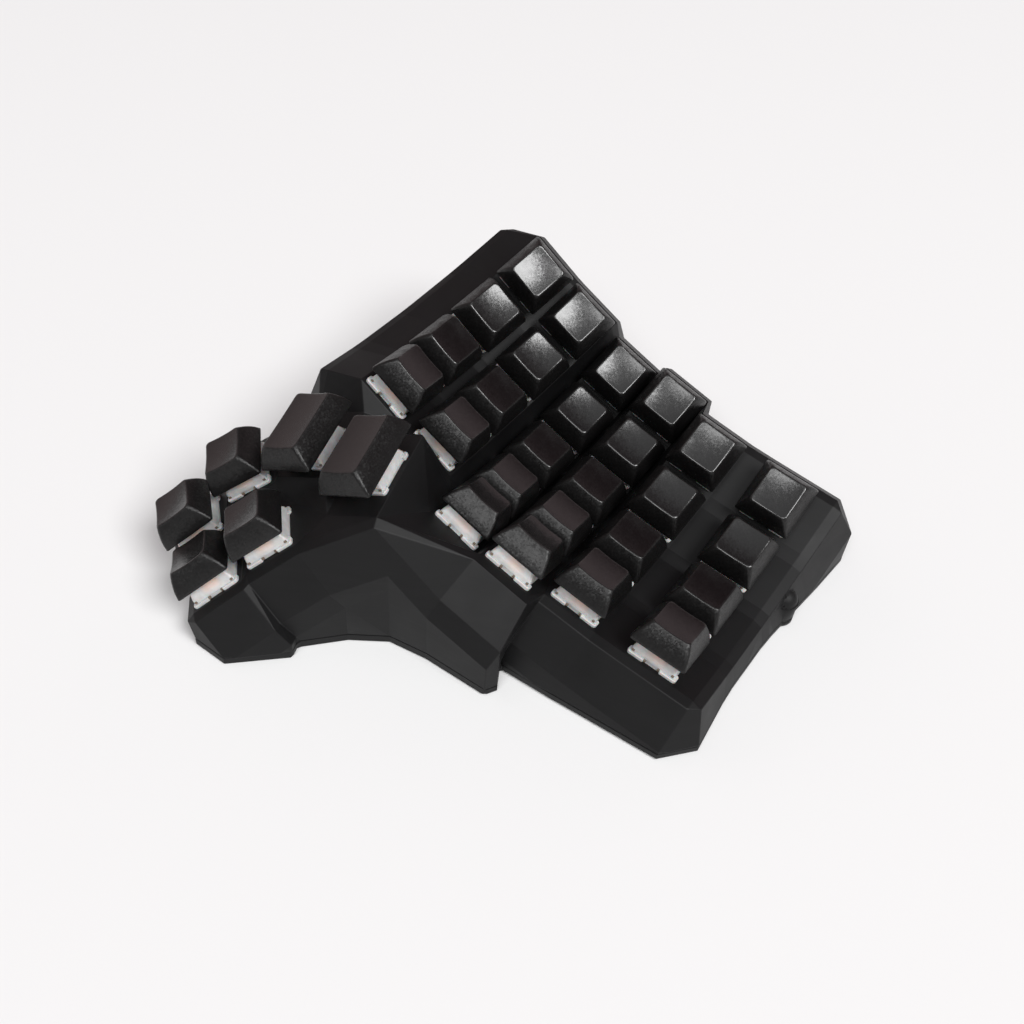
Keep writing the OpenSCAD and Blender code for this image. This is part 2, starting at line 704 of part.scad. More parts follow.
case_shell();
bottom_plate();
base_screws();
threaded_inserts();
switch_bases();
switch_tops();
switch_springs();
switch_contacts();
diodes();
row_wires();
column_wires();
controller_holder();
controller_board();
controller_chip();
usb_socket();
link_jack();
jack_nut();
finger_key(0, 0);  // key_c0_r0
finger_key(0, 1);  // key_c0_r1
finger_key(0, 2);  // key_c0_r2
finger_key(0, 3);  // key_c0_r3
finger_key(1, 0);  // key_c1_r0
finger_key(1, 1);  // key_c1_r1
finger_key(1, 2);  // key_c1_r2
finger_key(1, 3);  // key_c1_r3
finger_key(2, 0);  // key_c2_r0
finger_key(2, 1);  // key_c2_r1
finger_key(2, 2);  // key_c2_r2
finger_key(2, 3);  // key_c2_r3
finger_key(2, 4);  // key_c2_r4
finger_key(3, 0);  // key_c3_r0
finger_key(3, 1);  // key_c3_r1
finger_key(3, 2);  // key_c3_r2
finger_key(3, 3);  // key_c3_r3
finger_key(3, 4);  // key_c3_r4
finger_key(4, 0);  // key_c4_r0
finger_key(4, 1);  // key_c4_r1
finger_key(4, 2);  // key_c4_r2
finger_key(4, 3);  // key_c4_r3
finger_key(5, 0);  // key_c5_r0
finger_key(5, 1);  // key_c5_r1
finger_key(5, 2);  // key_c5_r2
finger_key(5, 3);  // key_c5_r3
thumb_key(0);  // key_thumb_inner_long
thumb_key(1);  // key_thumb_outer_long
thumb_key(2);  // key_thumb_upper_inner
thumb_key(3);  // key_thumb_upper_outer
thumb_key(4);  // key_thumb_lower_inner
thumb_key(5);  // key_thumb_lower_outer
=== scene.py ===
# Looks of the right-hand half of a split keyboard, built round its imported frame.
# The frame is in metres: X runs to the little finger, Y to the rear, Z up.
# Shapes are written in millimetres.
import math

import bpy
from mathutils import Matrix, Vector


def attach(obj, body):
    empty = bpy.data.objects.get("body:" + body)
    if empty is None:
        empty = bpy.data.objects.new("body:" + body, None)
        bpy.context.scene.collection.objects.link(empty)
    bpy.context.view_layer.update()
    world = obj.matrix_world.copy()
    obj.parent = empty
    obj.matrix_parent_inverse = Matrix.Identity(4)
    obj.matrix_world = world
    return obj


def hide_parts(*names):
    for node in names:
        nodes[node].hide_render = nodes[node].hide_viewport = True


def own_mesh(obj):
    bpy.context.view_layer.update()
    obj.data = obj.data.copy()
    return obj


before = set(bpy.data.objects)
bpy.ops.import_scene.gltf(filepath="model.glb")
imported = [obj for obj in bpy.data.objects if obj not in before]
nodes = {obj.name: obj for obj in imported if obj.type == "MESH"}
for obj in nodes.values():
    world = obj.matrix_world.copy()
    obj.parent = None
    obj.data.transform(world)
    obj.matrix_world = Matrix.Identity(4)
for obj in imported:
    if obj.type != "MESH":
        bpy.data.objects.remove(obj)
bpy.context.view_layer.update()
scene = bpy.context.scene
MM = 0.001

# Key layout, the same as the solids': the bowl's curves in degrees and the steps of its columns
PLATE_T = 4.0
MOUNT = 17.4
BASE_T = 3.0
WELL_LIFT = 6.6
COLUMN_CURVE = 15.0
ROW_CURVE = 5.0
TENT = 15.7
ROW_GAP = 1.0
COLUMN_GAP = 2.5
CAP_REACH = PLATE_T + 12.7
ROW_RADIUS = (MOUNT + ROW_GAP) / 2 / math.sin(math.radians(COLUMN_CURVE / 2)) + CAP_REACH
COLUMN_RADIUS = (MOUNT + COLUMN_GAP) / 2 / math.sin(math.radians(ROW_CURVE / 2)) + CAP_REACH
LEVEL_COLUMN = 3.45
LEVEL_ROW = 2.05
NO_STEP = (0, 0, 0)
MIDDLE_STEP = (0, 3.8, -7.7)
LITTLE_STEP = (0, -13.7, 7.3)
OUTER_SHIFT = 5.5
THUMB_SHIFT = (4.5, -3.2, 7.3)

# Thumb keys: turns about X, Y and Z in degrees, and the place from the bowl's corner
THUMBS = {
    "inner_long": (10, -23, 10, (-33.7, -15.4, -1.1)),
    "outer_long": (10, -23, 10, (-11.5, -15.9, 3.2)),
    "upper_inner": (6, -34, 40, (-51.0, -25.7, -11.9)),
    "upper_outer": (-6, -34, 48, (-29.1, -40.7, -13.5)),
    "lower_inner": (-4, -35, 52, (-55.8, -42.8, -23.6)),
    "lower_outer": (-16, -33, 54, (-38.1, -54.4, -25.6)),
}

# Heights over the plate in a key's own frame, and the sizes of its cap and switch
CAP_LIFT = 5.7
CAP_BASE = 17.7
CAP_TOP = 11.8
CAP_BULGE = 0.47
CAP_CORNER = 0.7
CAP_WALL = 1.2
FOOT_INSET = 0.985
FOOT_BEVEL = 0.25
RIM_CORNER = 1.3
DISH_Z = 12.1
DISH_R = 44.0
TROUGH = 0.12
CAVITY_Z = 10.6
CAVITY_W = 12.2
CAVITY_CORNER = 0.6
POST_W = 5.4
POST_CORNER = 2.65
SWITCH_TOP = 6.6
LONG_EXTRA = 9.5


def shift(x, y, z):
    return Matrix.Translation((x, y, z))


def turn(axis, degrees):
    return Matrix.Rotation(math.radians(degrees), 4, axis)


def finger_frame(c, r):
    """A finger key's own frame, on the upper face of the plate."""
    step = MIDDLE_STEP if c == 2 else LITTLE_STEP if c >= 4 else NO_STEP
    return (
        shift(0, 0, BASE_T + WELL_LIFT)
        @ turn("Y", TENT)
        @ shift(step[0], step[1], step[2] + COLUMN_RADIUS)
        @ turn("Y", ROW_CURVE * (LEVEL_COLUMN - c))
        @ shift(0, 0, ROW_RADIUS - COLUMN_RADIUS)
        @ turn("X", COLUMN_CURVE * (LEVEL_ROW - r))
        @ shift(OUTER_SHIFT if c == 5 else 0, 0, PLATE_T - ROW_RADIUS)
    )


def thumb_frame(name):
    """A thumb key's own frame, on the upper face of the plate."""
    rx, ry, rz, offset = THUMBS[name]
    corner = finger_frame(1, 3) @ Vector((MOUNT / 2, -MOUNT / 2, -PLATE_T))
    return (
        Matrix.Translation(corner + Vector(THUMB_SHIFT) + Vector(offset))
        @ turn("Z", rz)
        @ turn("Y", ry)
        @ turn("X", rx)
        @ shift(0, 0, PLATE_T)
    )


def in_metres(matrix):
    out = matrix.copy()
    out.translation *= MM
    return out


KEYS = {}
for column in range(6):
    for row in range(5 if column in (2, 3) else 4):
        KEYS[f"c{column}_r{row}"] = in_metres(finger_frame(column, row))
for thumb in THUMBS:
    KEYS[f"thumb_{thumb}"] = in_metres(thumb_frame(thumb))


# Meshes


class Shape:
    """Points in millimetres and faces with a material slot each."""

    def __init__(self):
        self.points = []
        self.faces = []
        self.slots = []
        self.edge = []

    # Each point carries a weight for the painted highlight along a cap's edges.
    def ring(self, points, edge=0.0):
        start = len(self.points)
        self.points += points
        self.edge += [edge] * len(points)
        return list(range(start, len(self.points)))

    def face(self, loop, slot=0):
        self.faces.append(loop)
        self.slots.append(slot)

    def bridge(self, a, b, slot=0):
        n = len(a)
        for i in range(n):
            j = (i + 1) % n
            self.face([a[i], a[j], b[j], b[i]], slot)

    def fan(self, a, slot=0, flip=False):
        middle = sum((Vector(self.points[i]) for i in a), Vector()) / len(a)
        hub = self.ring([tuple(middle)])[0]
        for i in range(len(a)):
            j = (i + 1) % len(a)
            self.face([a[j], a[i], hub] if flip else [a[i], a[j], hub], slot)

    def loft(self, rings, slot=0):
        loops = [self.ring(r) for r in rings]
        self.fan(loops[0], slot, flip=True)
        for a, b in zip(loops, loops[1:]):
            self.bridge(a, b, slot)
        self.fan(loops[-1], slot)

    def mesh(self, name, materials, angle=35):
        me = bpy.data.meshes.new(name)
        me.from_pydata([(x * MM, y * MM, z * MM) for x, y, z in self.points], [], self.faces)
        for material in materials:
            me.materials.append(material)
        me.polygons.foreach_set("material_index", self.slots)
        me.polygons.foreach_set("use_smooth", [True] * len(self.faces))
        # The weights mark where the cap materials paint a highlight along the edges.
        edge_highlight = me.attributes.new("edge_highlight", "FLOAT", "POINT")
        edge_highlight.data.foreach_set("value", self.edge)
        me.update()
        me.set_sharp_from_angle(angle=math.radians(angle))
        me.validate()
        return me


def outline(w, d, r, straight=8, corner=6):
    """A rounded rectangle as (x, y) points that run anticlockwise, the same count at any size."""
    points = []
    hw, hd = w / 2 - r, d / 2 - r
    centres = [(hw, hd, 0), (-hw, hd, 90), (-hw, -hd, 180), (hw, -hd, 270)]
    for k, (cx, cy, start) in enumerate(centres):
        for i in range(corner + 1):
            a = math.radians(start + 90 * i / corner)
            points.append((cx + r * math.cos(a), cy + r * math.sin(a)))
        nx, ny, nstart = centres[(k + 1) % 4]
        a = math.radians(nstart)
        end = (nx + r * math.cos(a), ny + r * math.sin(a))
        begin = points[-1]
        for i in range(1, straight):
            t = i / straight
            points.append((begin[0] + (end[0] - begin[0]) * t, begin[1] + (end[1] - begin[1]) * t))
    return points


def at_z(points, z):
    return [(x, y, z) for x, y in points]


def dish(x, y, long):
    """Height of a cap's top: a shallow bowl, or a trough along a long cap."""
    reach = x * x + (TROUGH if long else 1.0) * y * y
    return DISH_Z + DISH_R - math.sqrt(DISH_R**2 - reach)


def cap_shape(long):
    """A bowed, tapering cap: dished top, filleted rim, a hollow and the post that grips the stem."""
    extra = LONG_EXTRA if long else 0
    shape = Shape()
    rim = [(x, y, dish(x, y, long)) for x, y in outline(CAP_TOP, CAP_TOP + extra, RIM_CORNER)]

    def side(t):
        w = CAP_BASE + (CAP_TOP - CAP_BASE) * t + 8 * CAP_BULGE * t * (1 - t)
        ring = outline(w, w + extra, CAP_CORNER + (RIM_CORNER - CAP_CORNER) * t)
        return [(x, y, CAP_LIFT + (z - CAP_LIFT) * t) for (x, y), (_, _, z) in zip(ring, rim)]

    def top(t):
        return [(x * t, y * t, dish(x * t, y * t, long)) for x, y, _ in rim]

    foot = side(0)
    # The numbers given with the foot and rim rings weigh the painted edge highlight.
    below = shape.ring([(x * FOOT_INSET, y * FOOT_INSET, CAP_LIFT) for x, y, _ in foot], 0.4)
    loop = shape.ring([(x, y, z + FOOT_BEVEL) for x, y, z in foot], 0.5)
    shape.bridge(below, loop)
    for t in (0.12, 0.26, 0.4, 0.54, 0.68, 0.8, 0.89):
        step = shape.ring(side(t))
        shape.bridge(loop, step)
        loop = step
    low, high = side(0.95), top(0.94)
    for k in range(6):
        u = k / 5
        points = [
            tuple((1 - u) ** 2 * a[i] + 2 * u * (1 - u) * c[i] + u * u * b[i] for i in range(3))
            for a, c, b in zip(low, rim, high)
        ]
        step = shape.ring(points, 1.0 if 1 <= k <= 4 else 0.35)
        shape.bridge(loop, step, 0 if k < 3 else 1)
        loop = step
    for t in (0.9, 0.82, 0.72, 0.6, 0.46, 0.3, 0.15):
        step = shape.ring(top(t))
        shape.bridge(loop, step, 1)
        loop = step
    shape.fan(loop, 1)
    w = CAP_BASE - 2 * CAP_WALL
    inner = shape.ring(at_z(outline(w, w + extra, CAVITY_CORNER), CAP_LIFT))
    shape.bridge(inner, below)
    ceiling = shape.ring(at_z(outline(CAVITY_W, CAVITY_W + extra, CAVITY_CORNER), CAVITY_Z))
    shape.bridge(ceiling, inner)
    round_post = outline(POST_W, POST_W, POST_CORNER)
    post_root = shape.ring(at_z(round_post, CAVITY_Z))
    post_end = shape.ring(at_z(round_post, SWITCH_TOP + 0.1))
    shape.bridge(post_root, ceiling)
    shape.bridge(post_end, post_root)
    shape.fan(post_end, flip=True)
    return shape


def cross(arm, width):
    """A cross outline, anticlockwise."""
    a, b = arm / 2, width / 2
    half = [(a, -b), (a, b), (b, b), (b, a), (-b, a), (-b, b)]
    return half + [(-x, -y) for x, y in half]


def stem_shape():
    """The slider under a cap: a shoulder that the housing holds down, a neck and the cross on top."""
    shape = Shape()

    def box(w, d, z):
        return at_z(outline(w, d, 0.4, 1, 2), z)

    shape.loft([box(8.2, 6.8, 1.4), box(8.5, 7.1, 1.7), box(8.5, 7.1, 4.9), box(8.1, 6.7, 5.1)])
    shape.loft([box(6.9, 5.5, 5.1), box(6.9, 5.5, 6.3), box(6.6, 5.2, 6.6)])
    shape.loft([at_z(cross(4.0, 1.2), 6.6), at_z(cross(4.0, 1.2), 9.9), at_z(cross(3.7, 0.9), 10.15)])
    return shape


def flange_outline(w, r, notch, depth):
    """The switch's flange: a rounded square, its edges cut back between the tabs at the corners."""
    h = w / 2
    side = [(h - 0.75, h - 2.5), (h - 0.3, h - 2.5), (h, h - 2.2)]
    angles = [k * math.pi / 12 for k in range(7)]
    corner = [(h - r + r * math.cos(a), h - r + r * math.sin(a)) for a in angles]
    right = side + corner + [(notch + 0.25, h), (notch, h - 0.25), (notch, h - depth)]
    left = [(-x, y) for x, y in reversed(right)]
    rear = right + left
    return rear + [(-x, -y) for x, y in rear]


def switch_base_shape():
    """Lower housing: body in the plate's hole, the flange on the plate and the locating peg below."""
    shape = Shape()

    def body(w, z):
        return at_z(outline(w, w, 0.5, 3, 3), z)

    def rim(w, r, z):
        return at_z(flange_outline(w, r, 2.6, 0.95), z)

    def peg(r, z):
        angles = [k * math.pi / 12 for k in range(24)]
        return [(r * math.cos(a), r * math.sin(a), z) for a in angles]

    shape.loft([body(13.0, -5.0), body(13.6, -4.6), body(13.85, -1.5), body(13.85, 0.02)])
    shape.loft([rim(15.5, 0.9, 0.0), rim(15.6, 0.9, 0.12), rim(15.6, 0.9, 0.8), rim(15.3, 0.8, 1.0)])
    shape.loft([peg(1.5, -8.0), peg(1.95, -7.4), peg(1.95, -4.9)])
    return shape


def switch_top_shape():
    """Upper housing: tapering cover, dark blocks of painted shade at the latch holes, the stem's mouth
    on top.
    """
    shape = Shape()

    def wall(w, d, r, z):
        return shape.ring(at_z(outline(w, d, r, 8, 4), z))

    loop = wall(14.1, 14.1, 0.7, 1.0)
    shape.fan(loop, flip=True)
    for w, d, r, z in (
        (14.1, 14.1, 0.7, 2.0),
        (13.9, 13.8, 0.8, 2.5),
        (12.7, 12.2, 0.9, 4.6),
        (11.4, 10.6, 0.9, 6.35),
        (11.0, 10.2, 0.8, 6.58),
    ):
        step = wall(w, d, r, z)
        shape.bridge(loop, step)
        loop = step
    mouth = wall(7.3, 5.9, 0.4, 6.58)
    shape.bridge(loop, mouth)
    deep = wall(7.3, 5.9, 0.4, 5.4)
    shape.bridge(mouth, deep)
    shape.fan(deep)
    # Dark blocks at the latches: painted shade of the clip holes.
    for sx in (-1, 1):
        for sy in (-1, 1):
            block(shape, (sx * 2.25, sy * 7.08, 0.55), (0.75, 0.7, 0.9), 1)
            block(shape, (sx * 6.35, sy * 6.95, 1.5), (0.8, 0.6, 0.8), 1)
    return shape


def block(shape, centre, size, slot):
    """A small box with chamfered edges."""
    cx, cy, cz = centre
    w, d, h = size
    c = 0.12
    end = (w - 2 * c, d - 2 * c)
    rings = [(*end, -h / 2), (w, d, -h / 2 + c), (w, d, h / 2 - c), (*end, h / 2)]
    corners = ((1, 1), (-1, 1), (-1, -1), (1, -1))
    shape.loft(
        [[(cx + sx * a / 2, cy + sy * b / 2, cz + z) for sx, sy in corners] for a, b, z in rings],
        slot,
    )


def coil_shape(turns=7, radius=1.95, wire=0.19, low=-3.55, high=1.15):
    """A coil spring with closed end turns."""
    shape = Shape()
    steps = turns * 14
    up = Vector((0, 0, 1))
    angles = [-k * math.pi / 3 for k in range(6)]
    rings = []
    for i in range(steps + 1):
        t = i / steps
        a = 2 * math.pi * turns * t
        lift = min(max((t * turns - 0.8) / (turns - 1.6), 0), 1)
        centre = Vector((radius * math.cos(a), radius * math.sin(a), low + (high - low) * lift))
        out = Vector((math.cos(a), math.sin(a), 0))
        ring = [centre + wire * (out * math.cos(b) + up * math.sin(b)) for b in angles]
        rings.append([tuple(point) for point in ring])
    shape.loft(rings)
    return shape


# Materials

RELIEF = 0.0001


def new_material(name, colour, roughness, **settings):
    material = bpy.data.materials.new(name)
    material.use_nodes = True
    tree = material.node_tree
    shader = tree.nodes["Principled BSDF"]
    shader.inputs["Base Color"].default_value = (*colour, 1)
    shader.inputs["Roughness"].default_value = roughness
    for socket, value in settings.items():
        shader.inputs[socket.replace("_", " ")].default_value = value
    return material, tree, shader


def add(tree, kind, **values):
    node = tree.nodes.new(kind)
    for key, value in values.items():
        if key in node.inputs:
            node.inputs[key].default_value = value
        else:
            setattr(node, key, value)
    return node


def own_place(tree):
    """The piece's own coordinates, in metres."""
    return add(tree, "ShaderNodeTexCoord").outputs["Object"]


def noise(tree, scale, detail, stretch=None):
    """Noise on the piece's own coordinates, so scale is in cells per metre."""
    source = own_place(tree)
    if stretch:
        mapping = add(tree, "ShaderNodeMapping")
        mapping.inputs["Scale"].default_value = stretch
        tree.links.new(source, mapping.inputs["Vector"])
        source = mapping.outputs["Vector"]
    texture = add(tree, "ShaderNodeTexNoise", Scale=scale, Detail=detail)
    tree.links.new(source, texture.inputs["Vector"])
    return texture.outputs["Fac"]


def ramp(tree, value, low, high, start, end):
    """Maps a value from [low, high] to [start, end]."""
    node = add(tree, "ShaderNodeMapRange")
    node.inputs["From Min"].default_value = low
    node.inputs["From Max"].default_value = high
    node.inputs["To Min"].default_value = start
    node.inputs["To Max"].default_value = end
    tree.links.new(value, node.inputs["Value"])
    return node.outputs["Result"]


def noise_range(tree, texture, start, end):
    """Maps the middle of a noise's range to [start, end]."""
    return ramp(tree, texture, 0.3, 0.7, start, end)


def blend_colours(tree, factor, first, second):
    """Goes from the first colour to the second; each is three numbers or a socket."""
    node = add(tree, "ShaderNodeMix", data_type="RGBA")
    for socket, value in (("A", first), ("B", second)):
        target = [s for s in node.inputs if s.name == socket and s.type == "RGBA"][0]
        if isinstance(value, bpy.types.NodeSocket):
            tree.links.new(value, target)
        else:
            target.default_value = (*value, 1)
    tree.links.new(factor, node.inputs["Factor"])
    return [s for s in node.outputs if s.type == "RGBA"][0]


def product(tree, *factors):
    result = factors[0]
    for factor in factors[1:]:
        node = add(tree, "ShaderNodeMath", operation="MULTIPLY")
        tree.links.new(result, node.inputs[0])
        tree.links.new(factor, node.inputs[1])
        result = node.outputs["Value"]
    return result


def bump(tree, shader, height, strength):
    node = add(tree, "ShaderNodeBump", Strength=strength, Distance=RELIEF)
    tree.links.new(height, node.inputs["Height"])
    tree.links.new(node.outputs["Normal"], shader.inputs["Normal"])


def paint_edge_highlight(tree, shader, base, light, limit):
    """Paints a highlight: lightens the base colour, in patches, where the points' edge weight is set.
    """
    edge_highlight = add(tree, "ShaderNodeAttribute", attribute_name="edge_highlight")
    spots = ramp(tree, noise(tree, 900, 3), 0.35, 0.65, 0.25 * limit, limit)
    amount = product(tree, edge_highlight.outputs["Fac"], spots)
    tree.links.new(blend_colours(tree, amount, base, light), shader.inputs["Base Color"])


def speckle(tree, shader, scale, tilt):
    """Tips each grain of a surface a little its own way, so that it glints."""
    cells = add(tree, "ShaderNodeTexVoronoi", Scale=scale)
    tree.links.new(own_place(tree), cells.inputs["Vector"])
    lean = add(tree, "ShaderNodeVectorMath", operation="MULTIPLY_ADD")
    lean.inputs[1].default_value = (tilt, tilt, tilt)
    lean.inputs[2].default_value = (-tilt / 2, -tilt / 2, -tilt / 2)
    tree.links.new(cells.outputs["Color"], lean.inputs[0])
    normal = add(tree, "ShaderNodeVectorMath", operation="ADD")
    tree.links.new(add(tree, "ShaderNodeNewGeometry").outputs["Normal"], normal.inputs[0])
    tree.links.new(lean.outputs["Vector"], normal.inputs[1])
    unit = add(tree, "ShaderNodeVectorMath", operation="NORMALIZE")
    tree.links.new(normal.outputs["Vector"], unit.inputs[0])
    tree.links.new(unit.outputs["Vector"], shader.inputs["Normal"])


def cap_material(name, roughness, gloss, grain, spread):
    """Black moulded plastic with a fine grain, and a painted highlight along its edges."""
    black = (0.0045, 0.0042, 0.0043)
    darker = (0.003, 0.0028, 0.0028)
    lighter = (0.006, 0.0056, 0.0057)
    # Colour of the painted highlight along the edges.
    highlight_colour = (0.06, 0.059, 0.058)
    material, tree, shader = new_material(name, black, roughness, Specular_IOR_Level=gloss)
    fine = noise_range(tree, noise(tree, 2200, 2), 0, 1)
    # Painted highlight: the edges are lightened towards a pale grey in patches.
    paint_edge_highlight(tree, shader, blend_colours(tree, fine, darker, lighter), highlight_colour, 0.16)
    rough = noise_range(tree, noise(tree, 420, 3), roughness - spread, roughness + spread)
    tree.links.new(rough, shader.inputs["Roughness"])
    speckle(tree, shader, 2400, grain)
    return material


def printed_material(name, colour, roughness):
    """Printed plastic: stacked layers, uneven sheen and a faint mottling."""
    material, tree, shader = new_material(name, colour, roughness, Specular_IOR_Level=0.28)
    layers = noise(tree, 600, 2, stretch=(0.02, 0.02, 1.0))
    mottle = noise(tree, 60, 4)
    darker = tuple(c * 0.72 for c in colour)
    lighter = tuple(c * 1.3 for c in colour)
    mixed = add(tree, "ShaderNodeMath", operation="ADD")
    tree.links.new(noise_range(tree, layers, 0, 0.5), mixed.inputs[0])
    tree.links.new(noise_range(tree, mottle, 0, 0.5), mixed.inputs[1])
    tint = blend_colours(tree, mixed.outputs["Value"], darker, lighter)
    tree.links.new(tint, shader.inputs["Base Color"])
    rough = noise_range(tree, mottle, roughness - 0.05, roughness + 0.05)
    tree.links.new(rough, shader.inputs["Roughness"])
    bump(tree, shader, layers, 0.25)
    return material


def milky_material(name, glow):
    """Clouded clear plastic; with a glow, the copper leaf inside shows through its front."""
    material, tree, shader = new_material(
        name, (0.6, 0.6, 0.595), 0.32, Subsurface_Weight=0.3, Subsurface_Scale=0.0012
    )
    dull = (0.46, 0.456, 0.456)
    pale = (0.62, 0.615, 0.61)
    copper = (0.75, 0.45, 0.32)
    cloud = noise(tree, 350, 3)
    tint = blend_colours(tree, noise_range(tree, cloud, 0, 1), dull, pale)
    if glow:
        parts = add(tree, "ShaderNodeSeparateXYZ")
        tree.links.new(own_place(tree), parts.inputs["Vector"])
        leaf = product(
            tree,
            ramp(tree, parts.outputs["X"], -0.0032, -0.001, 0, 1),
            ramp(tree, parts.outputs["X"], 0.0042, 0.0022, 0, 1),
            ramp(tree, parts.outputs["Z"], 0.0016, 0.0034, 0, 0.45),
            ramp(tree, parts.outputs["Y"], -0.0045, -0.0058, 0, 1),
        )
        tint = blend_colours(tree, leaf, tint, copper)
    tree.links.new(tint, shader.inputs["Base Color"])
    tree.links.new(noise_range(tree, cloud, 0.26, 0.4), shader.inputs["Roughness"])
    bump(tree, shader, noise(tree, 2500, 2), 0.08)
    return material


def plain_material(name, colour, roughness, metallic=0.0, contrast=0.2, stretch=None):
    """A plain surface with slight changes of tone, sheen and relief."""
    material, tree, shader = new_material(name, colour, roughness, Metallic=metallic)
    grain = noise(tree, 900, 3, stretch=stretch)
    low = tuple(c * (1 - contrast) for c in colour)
    high = tuple(min(c * (1 + contrast), 1) for c in colour)
    tint = blend_colours(tree, noise_range(tree, grain, 0, 1), low, high)
    tree.links.new(tint, shader.inputs["Base Color"])
    spread = 0.25 * roughness
    rough = noise_range(tree, grain, roughness - spread, roughness + spread)
    tree.links.new(rough, shader.inputs["Roughness"])
    bump(tree, shader, grain, 0.1)
    return material


CAP_SIDE = cap_material("cap_side", 0.4, 0.38, 0.2, 0.04)
CAP_DISH = cap_material("cap_dish", 0.24, 0.72, 0.05, 0.03)
PRINTED = printed_material("printed_black", (0.0034, 0.0033, 0.0036), 0.54)
MILKY = milky_material("milky_plastic", False)
MILKY_TOP = milky_material("milky_cover", True)
# Dark brown for the latch blocks: painted shade of the clip holes.
LATCH_HOLE_SHADE = plain_material("painted_latch_hole_shade", (0.16, 0.12, 0.09), 0.5)
STEM = plain_material("stem_brown", (0.16, 0.065, 0.03), 0.4)
SPRING = plain_material("spring_steel", (0.6, 0.6, 0.61), 0.25, metallic=1.0, contrast=0.1)
STEEL = plain_material(
    "bright_steel", (0.58, 0.58, 0.59), 0.3, metallic=1.0, contrast=0.12, stretch=(1, 1, 8)
)
BRASS = plain_material("brass", (0.7, 0.5, 0.22), 0.3, metallic=1.0, contrast=0.1)
GLASS = plain_material("diode_glass", (0.55, 0.17, 0.05), 0.12, contrast=0.25)
RED = plain_material("wire_red", (0.4, 0.02, 0.02), 0.35, contrast=0.15)
BLUE = plain_material("wire_blue", (0.02, 0.06, 0.35), 0.35, contrast=0.15)
BOARD = plain_material("board_green", (0.015, 0.1, 0.045), 0.3, contrast=0.3)
CHIP = plain_material("chip_black", (0.015, 0.015, 0.016), 0.5)
JACK = plain_material("jack_black", (0.018, 0.018, 0.019), 0.35)


# Pieces


def place(name, me, matrix, body, replaced):
    piece = bpy.data.objects.new(name, me)
    scene.collection.objects.link(piece)
    piece.matrix_world = matrix
    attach(piece, body)
    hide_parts(replaced)
    return piece


CAP = cap_shape(False).mesh("cap", [CAP_SIDE, CAP_DISH], 60)
LONG_CAP = cap_shape(True).mesh("cap_long", [CAP_SIDE, CAP_DISH], 60)
STEM_MESH = stem_shape().mesh("stem", [STEM])
BASE_MESH = switch_base_shape().mesh("switch_base", [MILKY])
TOP_MESH = switch_top_shape().mesh("switch_top", [MILKY_TOP, LATCH_HOLE_SHADE])
COIL_MESH = coil_shape().mesh("switch_spring", [SPRING], 80)

for key, matrix in KEYS.items():
    body = f"key_{key}"
    place(f"cap_{key}", LONG_CAP if key.endswith("_long") else CAP, matrix, body, body)
    place(f"stem_{key}", STEM_MESH, matrix, body, body)
    place(f"switch_base_{key}", BASE_MESH, matrix, "case", "switch_bases")
    place(f"switch_top_{key}", TOP_MESH, matrix, "case", "switch_tops")
    spring = place(f"switch_spring_{key}", COIL_MESH, matrix, "case", "switch_springs")
    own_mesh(spring)

FINISH = {
    "case_shell": PRINTED,
    "bottom_plate": PRINTED,
    "base_screws": STEEL,
    "threaded_inserts": BRASS,
    "switch_contacts": BRASS,
    "diodes": GLASS,
    "row_wires": RED,
    "column_wires": BLUE,
    "controller_holder": PRINTED,
    "controller_board": BOARD,
    "controller_chip": CHIP,
    "usb_socket": STEEL,
    "link_jack": JACK,
    "jack_nut": STEEL,
}
for name, material in FINISH.items():
    node = nodes[name]
    node.data.materials.clear()
    node.data.materials.append(material)


WELD_REACH = 0.00001


def soften(name, width, angle, segments=2, clamp=True):
    """Welds a solid's split corners and rounds its edges."""
    weld = nodes[name].modifiers.new("weld", "WELD")
    weld.merge_threshold = WELD_REACH
    bevel = nodes[name].modifiers.new("rounded_edges", "BEVEL")
    bevel.width = width * MM
    bevel.segments = segments
    bevel.limit_method = "ANGLE"
    bevel.angle_limit = math.radians(angle)
    bevel.use_clamp_overlap = clamp
    bevel.harden_normals = True


soften("case_shell", 0.3, 14, clamp=False)
soften("bottom_plate", 0.7, 60, segments=1, clamp=False)
soften("controller_holder", 0.3, 40)
soften("jack_nut", 0.25, 40)
soften("usb_socket", 0.12, 40)


# Stage, light and camera, in metres

FLOOR_HALF = 6
FLOOR_DROP = 0.0002
LAMP_AIM = Vector((-0.02, 0, 0.03))
LAMP_DISTANCE = 9.6
LAMP_SIZE = 4.8


def stage_floor():
    """A pale floor that turns grey away from the object."""
    me = bpy.data.meshes.new("floor")
    h = FLOOR_HALF
    me.from_pydata([(-h, -h, 0), (h, -h, 0), (h, h, 0), (-h, h, 0)], [], [(0, 1, 2, 3)])
    floor = bpy.data.objects.new("floor", me)
    floor.location.z = -FLOOR_DROP
    scene.collection.objects.link(floor)
    material = bpy.data.materials.new("floor")
    material.use_nodes = True
    tree = material.node_tree
    tree.nodes.clear()
    out = add(tree, "ShaderNodeOutputMaterial")
    reach = add(tree, "ShaderNodeVectorMath", operation="LENGTH")
    tree.links.new(own_place(tree), reach.inputs[0])
    far = ramp(tree, reach.outputs["Value"], 0.55, 1.3, 0, 1)
    tint = blend_colours(tree, far, (0.8, 0.8, 0.8), (0.4, 0.4, 0.4))
    diffuse = add(tree, "ShaderNodeBsdfDiffuse")
    tree.links.new(tint, diffuse.inputs["Color"])
    tree.links.new(diffuse.outputs["BSDF"], out.inputs["Surface"])
    me.materials.append(material)


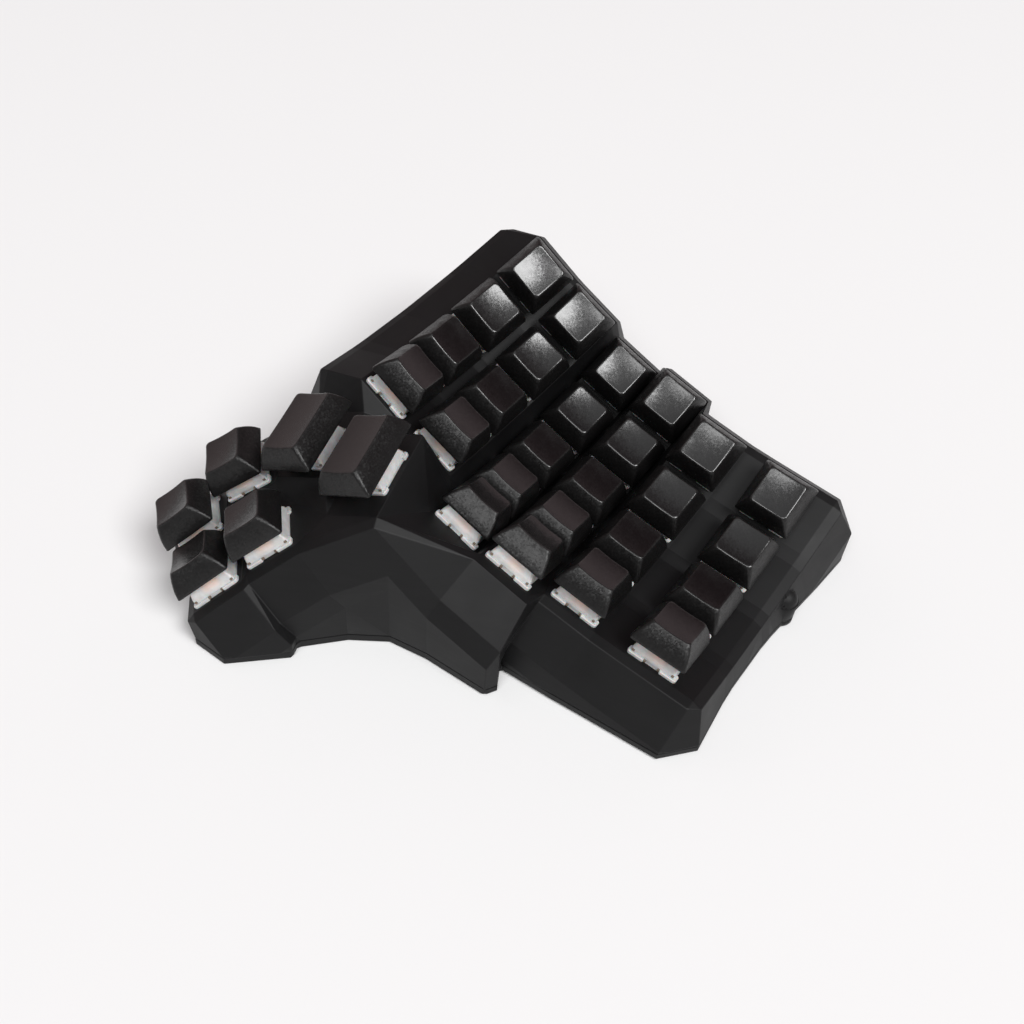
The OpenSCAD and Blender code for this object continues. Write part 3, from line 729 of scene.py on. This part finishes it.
def area_light(name, direction, power):
    """A large round lamp, far off in the given direction and turned to the object."""
    data = bpy.data.lights.new(name, "AREA")
    data.shape = "DISK"
    data.size = LAMP_SIZE
    data.energy = power
    lamp = bpy.data.objects.new(name, data)
    way = Vector(direction).normalized()
    lamp.location = LAMP_AIM + way * LAMP_DISTANCE
    lamp.rotation_euler = way.to_track_quat("Z", "Y").to_euler()
    scene.collection.objects.link(lamp)


def sky():
    """A dim room: paler behind and on the left, a bright ceiling in front and a pale band low down."""
    world = bpy.data.worlds.new("studio")
    world.use_nodes = True
    tree = world.node_tree
    tree.nodes.clear()
    out = add(tree, "ShaderNodeOutputWorld")
    direction = add(tree, "ShaderNodeTexCoord")
    parts = add(tree, "ShaderNodeSeparateXYZ")
    tree.links.new(direction.outputs["Generated"], parts.inputs["Vector"])
    rear = ramp(tree, parts.outputs["Y"], -0.1, 0.45, 0, 1)
    room = blend_colours(tree, rear, (0.12, 0.12, 0.122), (0.055, 0.02, 0.026))
    horizon = ramp(tree, parts.outputs["Y"], 0.7, 0.95, 0, 1)
    room = blend_colours(tree, horizon, room, (0.46, 0.36, 0.37))
    left = ramp(tree, parts.outputs["X"], -0.5, -0.85, 0, 1)
    room = blend_colours(tree, left, room, (0.46, 0.37, 0.37))
    right = ramp(tree, parts.outputs["X"], 0.5, 0.8, 0, 1)
    room = blend_colours(tree, right, room, (0.08, 0.08, 0.08))
    ceiling = product(
        tree,
        ramp(tree, parts.outputs["Z"], 0.84, 0.96, 0, 1),
        ramp(tree, parts.outputs["Y"], 0.42, 0.2, 0, 1),
    )
    room = blend_colours(tree, ceiling, room, (0.6, 0.6, 0.61))
    low = ramp(tree, parts.outputs["Z"], 0.15, 0.03, 0, 1)
    room = blend_colours(tree, low, room, (0.4, 0.4, 0.4))
    light = add(tree, "ShaderNodeBackground", Strength=1.0)
    tree.links.new(room, light.inputs["Color"])
    tree.links.new(light.outputs["Background"], out.inputs["Surface"])
    scene.world = world


def set_camera():
    """From the front right and above."""
    data = bpy.data.cameras.new("camera")
    data.sensor_fit = "HORIZONTAL"
    data.sensor_width = 36
    data.lens = 39.455
    data.shift_x = 0.01867
    data.shift_y = 0.03152
    data.clip_start = 0.01
    data.clip_end = 20
    camera = bpy.data.objects.new("camera", data)
    right = Vector((0.8098, 0.5851, 0.0451))
    up = Vector((-0.4580, 0.5822, 0.6718))
    back = right.cross(up)
    turned = Matrix((right, up, back)).transposed().to_4x4()
    camera.matrix_world = Matrix.Translation((0.10248, -0.21792, 0.26176)) @ turned
    scene.collection.objects.link(camera)
    scene.camera = camera


stage_floor()
area_light("softbox", (0.63, -0.14, 0.76), 810)
area_light("front_fill", (0.15, -0.6, 0.78), 370)
sky()
set_camera()
scene.view_settings.view_transform = "Standard"
